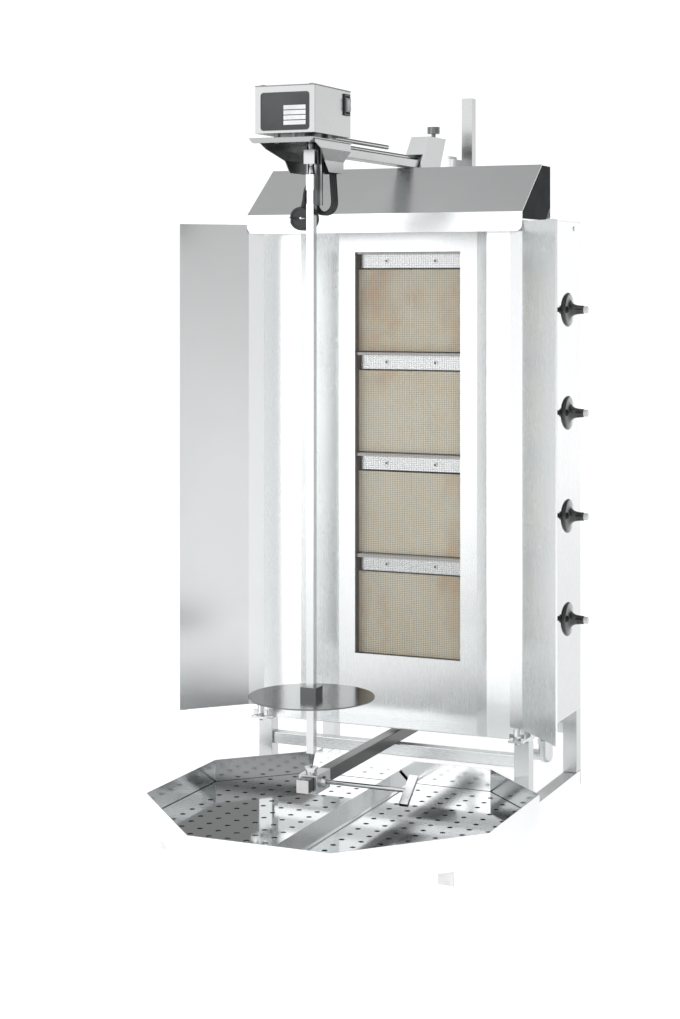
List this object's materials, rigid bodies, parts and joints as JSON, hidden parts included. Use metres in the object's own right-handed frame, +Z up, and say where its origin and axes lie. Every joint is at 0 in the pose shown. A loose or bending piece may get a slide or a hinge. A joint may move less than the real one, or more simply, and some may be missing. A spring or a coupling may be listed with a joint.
{
  "type": "gas_kebab_grill",
  "caption": "Vertical gas kebab grill: steel casing with ceramic burners and side wings, hood, octagonal drip tray, turning spit and motor head on a sliding arm.",
  "frame": {"origin": "centre of the bounding box's underside, on the floor between the base rails", "axes": "+X to the control knobs' side, +Y to the back, +Z up"},
  "size_m": [0.6636, 0.8256, 1.22],
  "materials": {
    "stainless": "brushed",
    "bright_steel": "polished",
    "white_caps": "matte",
    "ceramic": "matte",
    "black_plastic": "glossy",
    "cord_black": "matte",
    "brass": "satin",
    "motor_grey": "satin",
    "label_grey": "matte",
    "switch_grey": "glossy"
  },
  "bodies": {
    "stand": {"base_rails": "stainless", "posts": "stainless", "cross_tubes": "stainless", "lower_bar": "stainless", "tube_end_caps": "white_caps", "bottom_plate": "stainless", "top_plate": "stainless", "side_panel_right": "stainless", "side_panel_left": "stainless", "back_panel": "stainless", "centre_front_frame": "stainless", "reflector_right": "stainless", "reflector_left": "stainless", "hood": "stainless", "hood_end_plates": "black_plastic", "burner_pans": "stainless", "ceramic_tiles": "ceramic", "burner_strips": "stainless", "mesh_guard": "bright_steel", "gas_manifold": "brass", "gas_valves": "brass", "burner_feed_pipes": "brass", "inlet_elbow": "brass", "wing_lugs": "stainless", "wing_hinge_bolts": "bright_steel", "column": "stainless", "arm_sleeve": "stainless", "clamp_bracket": "stainless"},
    "wing_right_body": {"wing_right": "stainless"},
    "wing_left_body": {"wing_left": "stainless"},
    "tray_body": {"drip_tray": "stainless"},
    "tray_grid": {"perforated_plates": "stainless", "centre_ridge": "stainless"},
    "carriage_body": {"carriage": "bright_steel", "bearing_cup": "bright_steel"},
    "clamp_body": {"clamp_screw": "bright_steel"},
    "spit_body": {"spit": "bright_steel"},
    "disc_body": {"meat_disc": "bright_steel"},
    "arm_body": {"upper_arm_bar": "stainless", "arm_handle": "bright_steel", "motor_cradle": "stainless", "motor_plate": "stainless", "head_screws": "bright_steel", "motor_box": "stainless", "motor_lid": "stainless", "gear_motor": "motor_grey", "spit_guide_channel": "stainless", "rating_plate": "label_grey", "rocker_frame": "black_plastic", "cord_gland": "black_plastic", "cord_hank": "cord_black", "cord_tail": "cord_black", "plug": "cord_black"},
    "coupling_body": {"coupling": "bright_steel"},
    "rocker_body": {"rocker": "switch_grey"},
    "thumb_body": {"thumb_screw": "bright_steel"},
    "knob_1_body": {"knob_1": "black_plastic"},
    "knob_2_body": {"knob_2": "black_plastic"},
    "knob_3_body": {"knob_3": "black_plastic"},
    "knob_4_body": {"knob_4": "black_plastic"}
  },
  "joints": [
    {"name": "wing_right_swing", "type": "hinge", "parent": "stand", "child": "wing_right_body", "pos_m": [0.231, 0.07625, 0.165], "axis": [0, 0, 1], "range_deg": [0, 50]},
    {"name": "wing_left_swing", "type": "hinge", "parent": "stand", "child": "wing_left_body", "pos_m": [-0.231, 0.07625, 0.165], "axis": [0, 0, -1], "range_deg": [0, 50]},
    {"name": "knob_1_turn", "type": "hinge", "parent": "stand", "child": "knob_1_body", "pos_m": [0.257, 0.25025, 0.84], "axis": [1, 0, 0], "range_deg": [0, 180]},
    {"name": "knob_2_turn", "type": "hinge", "parent": "stand", "child": "knob_2_body", "pos_m": [0.257, 0.25025, 0.665], "axis": [1, 0, 0], "range_deg": [0, 180]},
    {"name": "knob_3_turn", "type": "hinge", "parent": "stand", "child": "knob_3_body", "pos_m": [0.257, 0.25025, 0.49], "axis": [1, 0, 0], "range_deg": [0, 180]},
    {"name": "knob_4_turn", "type": "hinge", "parent": "stand", "child": "knob_4_body", "pos_m": [0.257, 0.25025, 0.315], "axis": [1, 0, 0], "range_deg": [0, 180]},
    {"name": "tray_slide", "type": "slide", "parent": "stand", "child": "tray_body", "axis": [0, -1, 0], "range_m": [0, 0.35]},
    {"name": "grid_lift", "type": "slide", "parent": "tray_body", "child": "tray_grid", "axis": [0, 0, 1], "range_m": [0, 0.03]},
    {"name": "arm_slide", "type": "slide", "parent": "stand", "child": "arm_body", "axis": [0, 1, 0], "range_m": [-0.018, 0.085]},
    {"name": "carriage_slide", "type": "slide", "parent": "stand", "child": "carriage_body", "axis": [0, 1, 0], "range_m": [-0.018, 0.085]},
    {"name": "clamp_turn", "type": "hinge", "parent": "carriage_body", "child": "clamp_body", "pos_m": [0.022, -0.21375, 0.1215], "axis": [1, 0, 0], "continuous": true},
    {"name": "spit_turn", "type": "hinge", "parent": "carriage_body", "child": "spit_body", "pos_m": [0, -0.22375, 0.138], "axis": [0, 0, 1], "continuous": true},
    {"name": "disc_height", "type": "slide", "parent": "spit_body", "child": "disc_body", "axis": [0, 0, 1], "range_m": [0, 0.5]},
    {"name": "coupling_turn", "type": "hinge", "parent": "arm_body", "child": "coupling_body", "pos_m": [0, -0.22375, 1.102], "axis": [0, 0, 1], "continuous": true},
    {"name": "thumb_turn", "type": "hinge", "parent": "stand", "child": "thumb_body", "pos_m": [0, 0.30225, 1.141], "axis": [0, 0, 1], "continuous": true},
    {"name": "rocker_tilt", "type": "hinge", "parent": "arm_body", "child": "rocker_body", "pos_m": [0.046, -0.20275, 1.1575], "axis": [0, 1, 0], "range_deg": [-7, 7]}
  ],
  "couplings": [
    {"joint": "carriage_slide", "follows": "arm_slide", "ratio": 1},
    {"joint": "coupling_turn", "follows": "spit_turn", "ratio": 1}
  ]
}
